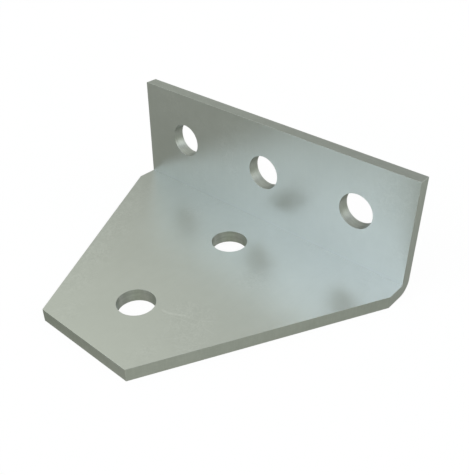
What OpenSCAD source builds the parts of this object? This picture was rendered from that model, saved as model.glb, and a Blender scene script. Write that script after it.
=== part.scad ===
// Strut angle bracket: one steel plate, cut to a blank that narrows to a short
// square nose, punched, and folded once to a right angle. The upright leg bolts
// across one strut channel, and the tapered leg lies along the other.
// The base lies flat with its underside at z = 0. The upright leg stands at +Y
// and the nose points to -Y. The two sides mirror each other about x = 0.

/* [Plate] */
// Thickness of the plate
plate_t = 5; // [3:0.5:8]
// Width of the bracket along the fold
plate_w = 128; // [120:1:180]
// Inside radius of the fold
bend_r = 0.5; // [0.3:0.1:3]

/* [Upright leg] */
// Height of the upright leg, from the underside of the base
wall_h = 47; // [44:1:80]

/* [Tapered base leg] */
// Depth of the base, from the back of the upright leg to the nose
base_d = 96; // [95:1:140]
// Length of the full-width part, from the back of the upright leg
shoulder_d = 13; // [12:1:17]
// Width of the square-cut nose
nose_w = 42; // [30:1:60]

/* [Holes] */
// Diameter of every hole
hole_d = 13.7; // [9:0.1:15]
// Distance of the hole row below the top edge of the upright leg
row_drop = 20; // [12:1:22]
// Spacing of the holes along the upright leg
row_pitch = 42; // [30:1:48]
// Distance of the front hole from the nose
nose_edge = 23.3; // [15:0.1:26]
// Spacing of the holes along the base
base_pitch = 48; // [36:1:50]

/* [Hidden] */
$fn = 96;
// Amount by which each cutter runs past the face that it opens
past = 1;
// Outside radius of the fold, for a plate of constant thickness
bend_ro = bend_r + plate_t;
// The origin is under the middle of the box around the bracket
y_back = base_d / 2;
y_nose = -base_d / 2;
y_shoulder = y_back - shoulder_d;
y_front_hole = y_nose + nose_edge;
row_z = wall_h - row_drop;

// A bar along X, centred on x = 0, with the section that is left in the lower
// back corner (y, z) of a box once that corner is rounded to radius r
module corner_bar(len, y, z, r) {
  difference() {
    translate([-len / 2, y - r, z - past]) cube([len, r + past, r + past]);
    translate([-len / 2 - past, y - r, z + r]) rotate([0, 90, 0])
      cylinder(h = len + 2 * past, r = r);
  }
}

// The space inside the fold: in front of the upright leg and above the base,
// with the inside radius of the fold along its lower back edge
module inside_of_fold() {
  len = plate_w + 2 * past;
  difference() {
    translate([-len / 2, y_nose - past, plate_t])
      cube([len, base_d - plate_t + past, wall_h - plate_t + past]);
    corner_bar(len + 2 * past, y_back - plate_t, plate_t, bend_r);
  }
}

// The triangle that the slanted cut takes off one side of the base, from the
// shoulder to the corner of the nose. side is 1 or -1.
module side_cut(side) {
  slope = (plate_w - nose_w) / 2 / (y_shoulder - y_nose);
  mirror([side < 0 ? 1 : 0, 0, 0]) translate([0, 0, -past])
    linear_extrude(height = plate_t + 2 * past)
      polygon([
        [plate_w / 2 + past * slope, y_shoulder + past],
        [nose_w / 2 - past * slope, y_nose - past],
        [plate_w, y_nose - past],
        [plate_w, y_shoulder + past]
      ]);
}

// A hole through the upright leg
module wall_hole(x) {
  translate([x, y_back + past, row_z]) rotate([90, 0, 0])
    cylinder(h = plate_t + 2 * past, d = hole_d);
}

// A hole through the base
module base_hole(y) {
  translate([0, y, -past]) cylinder(h = plate_t + 2 * past, d = hole_d);
}

module bracket() {
  color([0.70, 0.73, 0.71])
    difference() {
      translate([-plate_w / 2, y_nose, 0]) cube([plate_w, base_d, wall_h]);
      inside_of_fold();
      corner_bar(plate_w + 2 * past, y_back, 0, bend_ro);
      for (side = [-1, 1]) side_cut(side);
      for (i = [-1 : 1]) wall_hole(i * row_pitch);
      for (i = [0 : 1]) base_hole(y_front_hole + i * base_pitch);
    }
}

bracket();
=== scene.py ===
import math

import bpy
from mathutils import Matrix, Vector
from mathutils.geometry import delaunay_2d_cdt


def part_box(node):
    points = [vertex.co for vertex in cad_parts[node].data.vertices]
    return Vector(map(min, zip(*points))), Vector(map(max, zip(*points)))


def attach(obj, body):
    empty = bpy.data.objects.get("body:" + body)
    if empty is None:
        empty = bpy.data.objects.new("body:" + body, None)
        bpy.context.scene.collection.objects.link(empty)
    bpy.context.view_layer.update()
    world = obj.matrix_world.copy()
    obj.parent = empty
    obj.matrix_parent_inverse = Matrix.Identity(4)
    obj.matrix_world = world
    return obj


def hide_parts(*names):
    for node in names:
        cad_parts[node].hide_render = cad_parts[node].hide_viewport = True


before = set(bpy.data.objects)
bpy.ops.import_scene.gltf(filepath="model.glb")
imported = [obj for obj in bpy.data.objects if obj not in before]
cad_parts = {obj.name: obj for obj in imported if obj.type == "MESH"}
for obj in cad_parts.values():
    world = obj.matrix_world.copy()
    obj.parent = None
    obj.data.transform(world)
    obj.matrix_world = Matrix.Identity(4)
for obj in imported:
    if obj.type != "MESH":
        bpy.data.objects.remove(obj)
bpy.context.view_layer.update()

scene = bpy.context.scene

# ---------------------------------------------------------------------------
# Sizes in millimetres, in the part's own frame: underside at z = 0, upright
# leg at +Y, nose at -Y.
# ---------------------------------------------------------------------------
MM = 0.001
lo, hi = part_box("bracket")
WIDTH, DEPTH, HEIGHT = [(hi[i] - lo[i]) / MM for i in range(3)]
PLATE = 5.0
BEND_R = 0.015
SHOULDER = 13.0
NOSE = 42.0
HOLE_R = 6.85
ROW_Z, ROW_PITCH = 27.0, 42.0
BASE_HOLES = (-24.7, 23.3)

Y_BACK, Y_NOSE = DEPTH / 2, -DEPTH / 2
# The blank is described flat, in x, s and t: s runs from the nose along the
# base, round the fold and up the upright leg, and t is the depth below the
# face that ends up inside the fold.
S_FOLD = Y_BACK - PLATE - BEND_R
FOLD_LEN = (BEND_R + PLATE / 2) * math.pi / 2
Z_FOLD = PLATE + BEND_R
S_TOP = S_FOLD + FOLD_LEN + HEIGHT - Z_FOLD
FOLD_ROWS = 14


def wall_s(z):
    return S_FOLD + FOLD_LEN + z - Z_FOLD


def along(s, t):
    """The distance along the plate at depth t, which is shorter round the inside of the fold."""
    turned = min(max((s - S_FOLD) / FOLD_LEN, 0.0), 1.0)
    return s - turned * (FOLD_LEN - (BEND_R + t) * math.pi / 2)


def fold(x, s, t, n):
    """A point of the flat blank and its normal, folded into the part's frame."""
    if s <= S_FOLD:
        ahead, out = Vector((0, 1, 0)), Vector((0, 0, -1))
        p = Vector((x, s, PLATE - t))
    elif s >= S_FOLD + FOLD_LEN:
        ahead, out = Vector((0, 0, 1)), Vector((0, 1, 0))
        p = Vector((x, S_FOLD + BEND_R + t, Z_FOLD + s - S_FOLD - FOLD_LEN))
    else:
        a = (s - S_FOLD) / FOLD_LEN * math.pi / 2
        ahead = Vector((0, math.cos(a), math.sin(a)))
        out = Vector((0, math.sin(a), -math.cos(a)))
        p = Vector((x, S_FOLD, Z_FOLD)) + out * (BEND_R + t)
    return p * MM, Vector((n[0], 0, 0)) + ahead * n[1] + out * n[2]


# ---------------------------------------------------------------------------
# The plate's edge, from the inside face (t = 0) to the outside face. A punched
# edge rolls over where the tool enters, is smooth for the first part of its
# depth, then breaks away a little and ends in a sharper corner.
# ---------------------------------------------------------------------------
ROLL_R, BURR_R = 0.05, 0.04
BREAK_T, BREAK_OFF = 3.2, 0.015


def edge_profile():
    """Rows of (inset from the true edge, depth, outward part and face part of the normal)."""
    rows = []
    for j in range(6):
        a = math.pi / 2 * j / 5
        rows.append((ROLL_R * (1 - math.sin(a)), ROLL_R * (1 - math.cos(a)), math.sin(a), -math.cos(a)))
    rows.append((0.0, 1.6, 1.0, 0.0))
    rows.append((0.0, BREAK_T - 0.12, 1.0, 0.0))
    tilt = BREAK_OFF / (PLATE - BURR_R - BREAK_T)
    rows.append((BREAK_OFF * 0.35, BREAK_T + 0.12, 1.0, tilt))
    rows.append((BREAK_OFF * 0.7, 4.1, 1.0, tilt))
    for j in range(5):
        a = math.pi / 2 * j / 4
        rows.append((BREAK_OFF + BURR_R * (1 - math.cos(a)), PLATE - BURR_R * (1 - math.sin(a)), math.cos(a), math.sin(a)))
    return rows


CORNER_R = 0.25
STEP = 4.0
corners = [
    (-NOSE / 2, Y_NOSE), (NOSE / 2, Y_NOSE),
    (WIDTH / 2, Y_BACK - SHOULDER), (WIDTH / 2, S_TOP),
    (-WIDTH / 2, S_TOP), (-WIDTH / 2, Y_BACK - SHOULDER),
]
fold_s = [S_FOLD + FOLD_LEN * k / FOLD_ROWS for k in range(FOLD_ROWS + 1)]


def outline():
    """Points round the blank, each as (arc centre or base point, outward normal, radius that the inset is taken from)."""
    pts = []
    count = len(corners)
    sides = []
    for i in range(count):
        p, q = Vector(corners[i]), Vector(corners[(i + 1) % count])
        u = (q - p).normalized()
        sides.append((p, q, u, Vector((u.y, -u.x))))
    for i in range(count):
        p, q, u, n = sides[i]
        before = sides[i - 1][3]
        after = sides[(i + 1) % count][3]
        centre = p - (before + n) * (CORNER_R / (1 + before.dot(n)))
        a0, a1 = math.atan2(before.y, before.x), math.atan2(n.y, n.x)
        while a1 < a0:
            a1 += 2 * math.pi
        for k in range(7):
            a = a0 + (a1 - a0) * k / 6
            pts.append((centre, Vector((math.cos(a), math.sin(a))), CORNER_R))
        # the straight part, up to where the next corner's arc starts
        start = centre + n * CORNER_R
        end = q - (n + after) * (CORNER_R / (1 + n.dot(after))) + n * CORNER_R
        length = (end - start).length
        if abs(u.x) < 1e-9:
            # a side that crosses the fold has a point at each of the fold's rows
            inner = sorted(fold_s, reverse=u.y < 0)
            marks = [start.y] + inner + [end.y]
            for m0, m1 in zip(marks, marks[1:]):
                if m0 != start.y:
                    pts.append((Vector((p.x, m0)), n, 0.0))
                if m0 in fold_s and m1 in fold_s:
                    continue
                parts = max(1, round(abs(m1 - m0) / STEP))
                for k in range(1, parts):
                    pts.append((Vector((p.x, m0 + (m1 - m0) * k / parts)), n, 0.0))
        else:
            parts = max(1, round(length / STEP))
            for k in range(1, parts):
                pts.append((start + u * (length * k / parts), n, 0.0))
    return pts


SEGMENTS = 96
holes = [(0.0, y) for y in BASE_HOLES] + [(k * ROW_PITCH, wall_s(ROW_Z)) for k in (-1, 0, 1)]


def loops():
    """Each closed edge of the blank as a function of the inset: a list of (x, s, outward normal)."""
    ring = outline()
    made = [lambda off, ring=ring: [(b + n * (r - off), n) for b, n, r in ring]]
    for cx, cs in holes:
        def circle(off, cx=cx, cs=cs):
            out = []
            for k in range(SEGMENTS):
                a = -2 * math.pi * k / SEGMENTS
                d = Vector((math.cos(a), math.sin(a)))
                out.append((Vector((cx, cs)) + d * (HOLE_R + off), -d))
            return out
        made.append(circle)
    return made


# The texture map: each face lies flat, and the cut edges and hole walls are
# strips. It is laid out in millimetres and scaled to the unit square.
MAP_W = 2 * WIDTH + 12.0


def build_plate():
    verts, normals, flat = [], [], []
    faces, kinds, maps = [], [], []

    def vert(x, s, t, n):
        p, m = fold(x, s, t, n)
        verts.append(p)
        normals.append(m.normalized())
        flat.append((x, s, t))
        return len(verts) - 1

    profile = edge_profile()
    face_rings = {0: [], 1: []}
    for number, loop in enumerate(loops()):
        # the distance round the loop, for the map
        base = [p for p, n in loop(0.0)]
        count = len(base)
        dist = [0.0]
        for k in range(count):
            dist.append(dist[-1] + (base[(k + 1) % count] - base[k]).length)
        rings = []
        for off, t, side, face in profile:
            ring = []
            for k, (p, n) in enumerate(loop(off)):
                ring.append(vert(p.x, p.y, t, (n.x * side, n.y * side, face)))
            rings.append(ring)
        depth = [0.0]
        for a, b in zip(profile, profile[1:]):
            depth.append(depth[-1] + math.hypot(a[0] - b[0], a[1] - b[1]))
        # the strip is cut into rows that fit across the map
        room = MAP_W - 8.0
        for k in range(count):
            k1 = (k + 1) % count
            d0, d1 = dist[k], dist[k + 1]
            if number:
                u0, v0 = 4.0 + (number - 1) * (2 * math.pi * HOLE_R + 6.0), WIDTH + 32.0
            else:
                row = int(d0 // (room - 8.0))
                row = min(row, int((d1 - 1e-6) // (room - 8.0)))
                u0, v0 = 4.0 - row * (room - 8.0), S_TOP - Y_NOSE + 8.0 + row * 9.0
            for j in range(len(rings) - 1):
                faces.append((rings[j + 1][k], rings[j + 1][k1], rings[j][k1], rings[j][k]))
                kinds.append(2 if number else 1)
                maps.append([(u0 + d0, v0 - depth[j + 1]), (u0 + d1, v0 - depth[j + 1]),
                             (u0 + d1, v0 - depth[j]), (u0 + d0, v0 - depth[j])])
        face_rings[0].append(rings[0])
        face_rings[1].append(rings[-1])

    # The two broad faces, with points on a regular grid between their edges
    xs = [-WIDTH / 2 + STEP * k for k in range(1, int(WIDTH / STEP))]
    rows_base = [Y_NOSE + STEP * k for k in range(1, 40) if Y_NOSE + STEP * k < S_FOLD - STEP * 0.4]
    rows_wall = []
    s = S_FOLD + FOLD_LEN + STEP
    while s < S_TOP - STEP * 0.4:
        rows_wall.append(s)
        s += STEP
    slope = (WIDTH - NOSE) / 2 / (Y_BACK - SHOULDER - Y_NOSE)
    lean = math.hypot(1.0, slope)

    def inside(x, s, gap):
        if not (Y_NOSE + gap < s < S_TOP - gap and abs(x) < WIDTH / 2 - gap):
            return False
        if s < Y_BACK - SHOULDER + gap and abs(x) > NOSE / 2 + slope * (s - Y_NOSE) - gap * lean:
            return False
        return all(math.hypot(x - cx, s - cs) > HOLE_R + gap for cx, cs in holes)

    for side in (0, 1):
        t = 0.0 if side == 0 else PLATE
        n = (0.0, 0.0, -1.0 if side == 0 else 1.0)
        points, ids, edges, hole_of = [], [], [], {}
        for number, ring in enumerate(face_rings[side]):
            first = len(points)
            for v in ring:
                hole_of[len(points)] = number
                points.append(Vector((flat[v][0], flat[v][1])))
                ids.append(v)
            edges += [(first + k, first + (k + 1) % len(ring)) for k in range(len(ring))]
        ring0 = face_rings[side][0]
        for s in rows_base + fold_s + rows_wall:
            on_fold = s in fold_s
            row = []
            for x in xs:
                if inside(x, s, 1.0 if on_fold else 1.5):
                    points.append(Vector((x, s)))
                    ids.append(vert(x, s, t, n))
                    row.append(len(points) - 1)
            if on_fold:
                ends = [k for k, v in enumerate(ring0) if abs(flat[v][1] - s) < 1e-3]
                ends.sort(key=lambda k: flat[ring0[k]][0])
                row = [ends[0]] + row + [ends[-1]]
                edges += list(zip(row, row[1:]))
        out, _, tris, origs, _, _ = delaunay_2d_cdt(points, edges, [], 1, 1e-7)
        assert len(out) == len(points)
        for tri in tris:
            tri = [origs[i][0] for i in tri]
            # a triangle with all its corners on one hole's edge lies in the hole
            rings = {hole_of.get(i, 0) for i in tri}
            if len(rings) == 1 and rings != {0}:
                continue
            tri = [ids[i] for i in tri]
            if side == 1:
                tri.reverse()
            faces.append(tuple(tri))
            kinds.append(0)
            u0 = 3.0 + WIDTH / 2 if side == 0 else 9.0 + WIDTH * 1.5
            maps.append([(u0 + (flat[i][0] if side == 0 else -flat[i][0]), flat[i][1] - Y_NOSE + 2.0) for i in tri])
    return verts, normals, flat, faces, kinds, maps


verts, normals, flat, faces, kinds, maps = build_plate()
mesh = bpy.data.meshes.new("bracket_plate")
mesh.from_pydata(verts, [], faces)
for poly, kind in zip(mesh.polygons, kinds):
    poly.material_index = kind
    poly.use_smooth = True
layer = mesh.uv_layers.new(name="OFBake")
for poly, corner in zip(mesh.polygons, maps):
    for k, loop_index in enumerate(poly.loop_indices):
        layer.data[loop_index].uv = (corner[k][0] / MAP_W, corner[k][1] / MAP_W)
attribute = mesh.attributes.new("blank", "FLOAT_VECTOR", "POINT")
attribute.data.foreach_set("vector", [c for x, s, t in flat for c in (x, along(s, t), t)])
mesh.update()
mesh.normals_split_custom_set_from_vertices(normals)
plate = bpy.data.objects.new("bracket_plate", mesh)
scene.collection.objects.link(plate)

# ---------------------------------------------------------------------------
# Materials
# ---------------------------------------------------------------------------


class Tree:
    """Short ways to add nodes to a node tree and link them."""

    def __init__(self, tree):
        self.tree = tree
        tree.nodes.clear()

    def node(self, kind, inputs=None, **settings):
        n = self.tree.nodes.new(kind)
        for key, value in settings.items():
            setattr(n, key, value)
        for key, value in (inputs or {}).items():
            self.put(n.inputs[key], value)
        return n

    def put(self, socket, value):
        if isinstance(value, bpy.types.NodeSocket):
            self.tree.links.new(value, socket)
        else:
            socket.default_value = value

    def math(self, kind, a, b=0.0, clamp=False):
        return self.node("ShaderNodeMath", {0: a, 1: b}, operation=kind, use_clamp=clamp).outputs[0]

    def scaled(self, vector, factors):
        return self.node("ShaderNodeVectorMath", {0: vector, 1: factors}, operation="MULTIPLY").outputs[0]

    def moved(self, vector, offset):
        return self.node("ShaderNodeVectorMath", {0: vector, 1: offset}, operation="ADD").outputs[0]

    def noise(self, vector, scale, detail=2.0, rough=0.5, distort=0.0):
        return self.node("ShaderNodeTexNoise", {"Vector": vector, "Scale": scale, "Detail": detail, "Roughness": rough, "Distortion": distort}).outputs[0]

    def remap(self, value, a, b, c=0.0, d=1.0, smooth=False):
        n = self.node("ShaderNodeMapRange", {"Value": value, "From Min": a, "From Max": b, "To Min": c, "To Max": d}, clamp=True)
        if smooth:
            n.interpolation_type = "SMOOTHSTEP"
        return n.outputs[0]

    def mix(self, factor, a, b):
        n = self.node("ShaderNodeMix", data_type="RGBA")
        for index, value in ((0, factor), (6, a), (7, b)):
            self.put(n.inputs[index], value)
        return n.outputs[2]


def lines_at(t, at, angle, stretch, across, low, high, shift):
    """Thin broken lines at an angle: noise drawn out along one direction, with only its crests kept."""
    turned = t.node("ShaderNodeVectorRotate", {"Vector": at, "Angle": math.radians(angle)}, rotation_type="Z_AXIS").outputs[0]
    moved = t.moved(turned, (shift, shift * 0.7, shift * 0.3))
    bend = t.math("MULTIPLY", t.noise(moved, 0.06, 1.0), 5.0)
    moved = t.moved(moved, t.node("ShaderNodeCombineXYZ", {0: 0.0, 1: bend, 2: 0.0}).outputs[0])
    return t.remap(t.noise(t.scaled(moved, (stretch, across, 1.0)), 1.0, 1.0), low, high)


def curls(t, at, scale, shift):
    """Fine curling lines: the places where a slow noise passes through its middle value."""
    n = t.noise(t.moved(at, (shift, -shift, 0.0)), scale, 1.5, 0.5, 0.8)
    return t.remap(t.math("ABSOLUTE", t.math("SUBTRACT", n, 0.5)), 0.015, 0.10, 1.0, 0.0)


def patch(t, at, x, s, radius):
    """1 in the middle of a round patch of the blank, 0 at its rim and outside."""
    away = t.node("ShaderNodeVectorMath", {0: at, 1: (x, s, 0.0)}, operation="DISTANCE").outputs["Value"]
    return t.remap(away, radius, radius * 0.35, smooth=True)


def wavy_line(t, at, x, s, angle, length, half, wave):
    """One light scratch that starts at (x, s), with soft ends."""
    local = t.moved(at, (-x, -s, 0.0))
    local = t.node("ShaderNodeVectorRotate", {"Vector": local, "Angle": math.radians(-angle)}, rotation_type="Z_AXIS").outputs[0]
    part = t.node("ShaderNodeSeparateXYZ", {0: local})
    u, v, deep = part.outputs[0], part.outputs[1], part.outputs[2]
    v = t.math("ADD", v, t.math("MULTIPLY", t.math("SINE", t.math("MULTIPLY", u, 6.0 / length)), wave))
    line = t.remap(t.math("ABSOLUTE", v), half * 0.3, half, 1.0, 0.0, smooth=True)
    line = t.math("MULTIPLY", line, t.remap(u, 0.0, length * 0.15, smooth=True))
    line = t.math("MULTIPLY", line, t.remap(u, length * 0.6, length, 1.0, 0.0, smooth=True))
    return t.math("MULTIPLY", line, t.remap(deep, 1.0, 2.0, 1.0, 0.0))


ZINC_LIGHT = (0.636, 0.658, 0.633, 1.0)
ZINC_DARK = (0.606, 0.628, 0.603, 1.0)
ZINC_MARK = (0.740, 0.755, 0.735, 1.0)
ZINC_SMEAR = (0.515, 0.535, 0.510, 1.0)
METAL = 0.8


def zinc_face():
    m = bpy.data.materials.new("zinc_plate_face")
    m.use_nodes = True
    t = Tree(m.node_tree)
    at = t.node("ShaderNodeAttribute", attribute_name="blank").outputs["Vector"]
    broad = t.noise(at, 0.035, 2.0)
    cloud = t.noise(at, 0.22, 3.0, 0.5)
    grain = t.noise(at, 1.9, 2.0)
    rolled = t.noise(t.scaled(at, (1.1, 0.03, 0.5)), 1.0, 2.0, 0.5)

    # handling marks: straight scuffs in patches all over, and curling ones
    # where the plate was held
    scuffs = None
    for angle, stretch, across, low, high, shift in (
        (22, 0.05, 1.1, 0.66, 0.80, 3.0),
        (-38, 0.06, 1.3, 0.67, 0.81, 41.0),
        (71, 0.05, 1.0, 0.68, 0.82, 87.0),
        (-8, 0.04, 1.5, 0.67, 0.81, 133.0),
    ):
        line = lines_at(t, at, angle, stretch, across, low, high, shift)
        scuffs = line if scuffs is None else t.math("MAXIMUM", scuffs, line)
    scuffs = t.math("MULTIPLY", scuffs, t.remap(t.noise(at, 0.05, 2.0), 0.42, 0.62, 0.1, 0.7))
    held = t.remap(t.noise(t.moved(at, (19.0, 7.0, 31.0)), 0.045, 1.0), 0.56, 0.70, 0.0, 0.6)
    for x, s, radius, strength in (
        (19.0, -18.5, 13.0, 0.8), (27.0, -26.0, 9.0, 0.8), (22.0, 11.0, 9.0, 0.7),
        (-27.0, -31.0, 12.0, 0.8), (-35.0, -17.0, 13.0, 1.0), (-43.0, -3.0, 14.0, 1.0), (-51.0, 11.0, 14.0, 1.0), (-54.0, 25.0, 11.0, 0.8),
        (-50.0, along(wall_s(41.0), 0.0), 12.0, 0.5), (-13.0, along(wall_s(38.0), 0.0), 13.0, 0.3), (-35.0, along(wall_s(12.0), 0.0), 12.0, 0.4),
    ):
        held = t.math("MAXIMUM", held, t.math("MULTIPLY", patch(t, at, x, s, radius), strength))
    curl = t.math("MAXIMUM", curls(t, at, 0.42, 11.0), t.math("MULTIPLY", curls(t, at, 0.7, 57.0), 0.7))
    curl = t.math("MULTIPLY", t.math("MULTIPLY", curl, held), t.remap(cloud, 0.30, 0.60, 0.3, 1.0))
    smear = t.math("MULTIPLY", curls(t, at, 0.5, 91.0), held)
    wisp = None
    for x, s, angle, length, half, wave, strength in (
        (8.6, -21.6, 15.0, 13.5, 0.75, 0.6, 1.0),
        (13.0, -22.6, 17.0, 15.0, 0.45, -0.5, 0.35),
        (19.5, -18.4, 27.0, 11.0, 0.45, 0.4, 0.35),
        (20.0, -31.0, 48.0, 10.0, 0.40, 0.3, 0.25),
        (24.5, -19.6, 12.0, 8.0, 0.40, -0.3, 0.35),
    ):
        line = t.math("MULTIPLY", wavy_line(t, at, x, s, angle, length, half, wave), strength)
        wisp = line if wisp is None else t.math("MAXIMUM", wisp, line)

    tone = t.math("ADD", t.math("MULTIPLY", broad, 0.45), t.math("MULTIPLY", cloud, 0.35))
    tone = t.math("ADD", tone, t.math("MULTIPLY", rolled, 0.2))
    colour = t.mix(t.remap(tone, 0.36, 0.64), ZINC_DARK, ZINC_LIGHT)
    light = t.math("ADD", t.math("MULTIPLY", scuffs, 0.14), t.math("MULTIPLY", curl, 0.5))
    light = t.math("ADD", light, t.math("MULTIPLY", wisp, 0.75), clamp=True)
    colour = t.mix(light, colour, ZINC_MARK)
    colour = t.mix(t.math("MULTIPLY", smear, 0.28), colour, ZINC_SMEAR)
    rough = t.remap(t.math("ADD", t.math("MULTIPLY", cloud, 0.6), t.math("MULTIPLY", rolled, 0.4)), 0.3, 0.7, 0.330, 0.362)
    rough = t.math("ADD", rough, t.math("MULTIPLY", light, 0.10))
    height = t.math("ADD", t.math("MULTIPLY", grain, 0.45), t.math("MULTIPLY", rolled, 0.3))
    height = t.math("SUBTRACT", height, t.math("MULTIPLY", light, 0.5))
    bump = t.node("ShaderNodeBump", {"Strength": 1.0, "Distance": 0.0000012, "Height": height}).outputs[0]
    shader = t.node("ShaderNodeBsdfPrincipled", {"Metallic": METAL, "Base Color": colour, "Roughness": rough, "Normal": bump})
    t.node("ShaderNodeOutputMaterial", {"Surface": shader.outputs[0]})
    return m


def zinc_cut(name, turned):
    """A cut edge. The walls of the holes have fine rings from the tool, and the outline has lines across the plate."""
    m = bpy.data.materials.new(name)
    m.use_nodes = True
    t = Tree(m.node_tree)
    at = t.node("ShaderNodeAttribute", attribute_name="blank").outputs["Vector"]
    deep = t.node("ShaderNodeSeparateXYZ", {0: at}).outputs[2]
    rings = t.noise(t.scaled(at, (0.11, 0.11, 1.7)), 1.0, 3.0, 0.6)
    drag = t.noise(t.scaled(at, (1.5, 1.5, 0.2)), 1.0, 3.0, 0.6)
    grit = t.noise(at, 1.6, 3.0, 0.65)
    cloud = t.noise(at, 0.25, 3.0, 0.6)
    wander = t.remap(t.noise(t.scaled(at, (0.3, 0.3, 0.0)), 1.0, 2.0), 0.3, 0.7, -0.45, 0.45)
    torn = t.remap(t.math("ADD", deep, wander), BREAK_T - 0.25, BREAK_T + 0.4, smooth=True)
    lines = t.math("ADD", t.math("MULTIPLY", rings, 0.8 if turned else 0.35), t.math("MULTIPLY", drag, 0.2 if turned else 0.65))
    lines = t.math("ADD", t.math("MULTIPLY", lines, t.remap(torn, 0.0, 1.0, 1.0, 0.55)), t.math("MULTIPLY", grit, t.remap(torn, 0.0, 1.0, 0.0, 0.45)))
    tone = t.math("ADD", t.math("MULTIPLY", cloud, 0.4), t.math("MULTIPLY", lines, 0.6))
    dark, pale = ((0.475, 0.495, 0.465, 1.0), (0.690, 0.712, 0.680, 1.0)) if turned else ((0.560, 0.583, 0.550, 1.0), (0.655, 0.676, 0.645, 1.0))
    colour = t.mix(t.remap(tone, 0.34, 0.66), dark, pale)
    rough = t.math("ADD", t.remap(lines, 0.3, 0.7, 0.30, 0.37), t.math("MULTIPLY", torn, 0.04))
    bump = t.node("ShaderNodeBump", {"Strength": 1.0, "Distance": 0.000012, "Height": lines}).outputs[0]
    shader = t.node("ShaderNodeBsdfPrincipled", {"Metallic": METAL, "Base Color": colour, "Roughness": rough, "Normal": bump})
    t.node("ShaderNodeOutputMaterial", {"Surface": shader.outputs[0]})
    return m


mesh.materials.append(zinc_face())
mesh.materials.append(zinc_cut("zinc_plate_edge", False))
mesh.materials.append(zinc_cut("zinc_hole_wall", True))

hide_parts("bracket")
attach(plate, "root")

# ---------------------------------------------------------------------------
# Floor, light and camera
# ---------------------------------------------------------------------------
floor_mesh = bpy.data.meshes.new("floor")
R = 6.0
floor_mesh.from_pydata([(-R, -R, 0), (R, -R, 0), (R, R, 0), (-R, R, 0)], [], [(0, 1, 2, 3)])
floor = bpy.data.objects.new("floor", floor_mesh)
floor.location.z = -0.00005
scene.collection.objects.link(floor)


# The floor is lit to near white where it is seen directly. The metal reflects
# the tent's dim ground in its place.
for ray in ("diffuse", "glossy", "transmission", "volume_scatter", "shadow"):
    setattr(floor, "visible_" + ray, False)


def floor_material():
    m = bpy.data.materials.new("pale_floor")
    m.use_nodes = True
    t = Tree(m.node_tree)
    matt = t.node("ShaderNodeBsdfDiffuse", {"Color": (0.06, 0.06, 0.06, 1.0)})
    glow = t.node("ShaderNodeEmission", {"Color": (1.0, 1.0, 1.0, 1.0), "Strength": 0.955})
    lit = t.node("ShaderNodeAddShader", {0: matt.outputs[0], 1: glow.outputs[0]})
    t.node("ShaderNodeOutputMaterial", {"Surface": lit.outputs[0]})
    return m


floor_mesh.materials.append(floor_material())

# A light tent that is brighter overhead, with a dim ground and soft lamps, some
# of them broad and some small.
# Each lamp is (azimuth, elevation, tightness, colour): azimuth 0 is in front of
# the nose and 90 is to the right, and a tighter lamp is a smaller one.
TENT = (0.410, 0.420, 0.412)
GROUND = (0.028, 0.046, 0.000)
LAMPS = [
    (0.0, 10.0, 14.0, (1.263, 1.353, 1.064)),
    (270.0, 50.0, 5.0, (0.398, 0.437, 0.323)),
    (120.0, 30.0, 14.0, (1.051, 1.137, 1.101)),
    (90.0, 50.0, 14.0, (0.926, 0.943, 1.016)),
    (240.0, 45.0, 30.0, (0.329, 0.311, 0.289)),
    (180.0, 57.0, 30.0, (0.337, 0.357, 0.293)),
    (130.0, 10.0, 30.0, (0.213, 0.213, 0.140)),
    (41.0, -35.0, 14.0, (0.089, 0.117, 0.078)),
    (84.0, -35.0, 14.0, (0.354, 0.366, 0.358)),
    (139.0, -35.0, 14.0, (0.223, 0.208, 0.238)),
    (225.0, -35.0, 14.0, (0.740, 0.778, 0.937)),
    (319.0, -12.0, 20.0, (0.337, 0.311, 0.337)),
    (330.0, 42.0, 80.0, (1.509, 1.714, 2.133)),
    (0.0, -75.0, 8.0, (1.133, 1.077, 1.075)),
    (350.0, 35.0, 60.0, (0.906, 1.026, 1.355)),
    (335.0, 32.0, 120.0, (1.207, 1.290, 1.484)),
    (350.0, 25.0, 60.0, (0.744, 0.855, 1.105)),
    (330.0, 36.0, 160.0, (1.152, 1.253, 1.458)),
    (325.0, 40.0, 200.0, (0.892, 1.005, 1.209)),
    (318.0, 36.0, 120.0, (0.794, 1.092, 1.204)),
    (0.0, 30.0, 40.0, (0.672, 0.833, 1.085)),
    (335.0, 44.0, 200.0, (0.621, 0.674, 0.864)),
    (150.0, -12.0, 8.0, (0.330, 0.350, 0.330)),
    (270.0, 0.0, 8.0, (0.330, 0.350, 0.330)),
]


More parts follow.
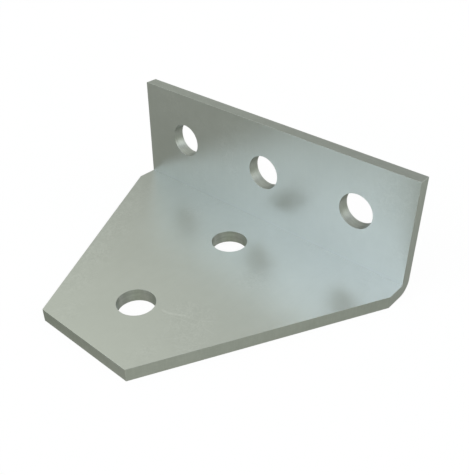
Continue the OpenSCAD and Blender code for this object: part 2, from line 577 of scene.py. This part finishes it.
def tent():
    world = bpy.data.worlds.new("light_tent")
    world.use_nodes = True
    scene.world = world
    t = Tree(world.node_tree)
    way = t.node("ShaderNodeTexCoord").outputs["Generated"]
    height = t.node("ShaderNodeSeparateXYZ", {0: way}).outputs[2]
    up = t.math("MAXIMUM", height, 0.0)
    down = t.remap(height, 0.05, -0.15, smooth=True)
    colour = t.node("ShaderNodeVectorMath", {0: TENT, "Scale": up}, operation="SCALE").outputs[0]
    colour = t.moved(colour, t.node("ShaderNodeVectorMath", {0: GROUND, "Scale": down}, operation="SCALE").outputs[0])
    for azimuth, elevation, tight, tint in LAMPS:
        a, e = math.radians(azimuth), math.radians(elevation)
        aim = (math.sin(a) * math.cos(e), -math.cos(a) * math.cos(e), math.sin(e))
        near = t.node("ShaderNodeVectorMath", {0: way, 1: aim}, operation="DOT_PRODUCT").outputs["Value"]
        near = t.math("EXPONENT", t.math("MULTIPLY", t.math("SUBTRACT", near, 1.0), tight))
        glow = t.node("ShaderNodeVectorMath", {0: tint, "Scale": near}, operation="SCALE").outputs[0]
        colour = t.moved(colour, glow)
    direct = t.node("ShaderNodeLightPath").outputs["Is Camera Ray"]
    light = t.node("ShaderNodeBackground", {"Color": colour, "Strength": 1.0})
    plain = t.node("ShaderNodeBackground", {"Color": (1.0, 1.0, 1.0, 1.0), "Strength": 1.0})
    both = t.node("ShaderNodeMixShader", {0: direct, 1: light.outputs[0], 2: plain.outputs[0]})
    t.node("ShaderNodeOutputWorld", {"Surface": both.outputs[0]})


tent()

scene.cycles.use_denoising = True
scene.view_settings.view_transform = "Standard"
scene.view_settings.look = "None"
scene.view_settings.exposure = 0.0
scene.view_settings.gamma = 1.0

CAM_AZ, CAM_EL = math.radians(41.2617), math.radians(34.8689)
CAM_X, CAM_Y, CAM_DIST, CAM_F = 14.3277, 5.0401, 269.8554, 650.2991
back = Vector((math.sin(CAM_AZ) * math.cos(CAM_EL), -math.cos(CAM_AZ) * math.cos(CAM_EL), math.sin(CAM_EL)))
right = Vector((math.cos(CAM_AZ), math.sin(CAM_AZ), 0.0))
upward = back.cross(right)
place = (back * CAM_DIST - right * CAM_X - upward * CAM_Y + Vector((0, Y_BACK, 0))) * MM
camera_data = bpy.data.cameras.new("camera")
camera_data.sensor_fit = "AUTO"
camera_data.sensor_width = 36.0
camera_data.lens = CAM_F * 36.0 / 475.0
camera_data.clip_start, camera_data.clip_end = 0.01, 50.0
camera = bpy.data.objects.new("camera", camera_data)
camera.matrix_world = Matrix.Translation(place) @ Matrix((right, upward, back)).transposed().to_4x4()
scene.collection.objects.link(camera)
scene.camera = camera
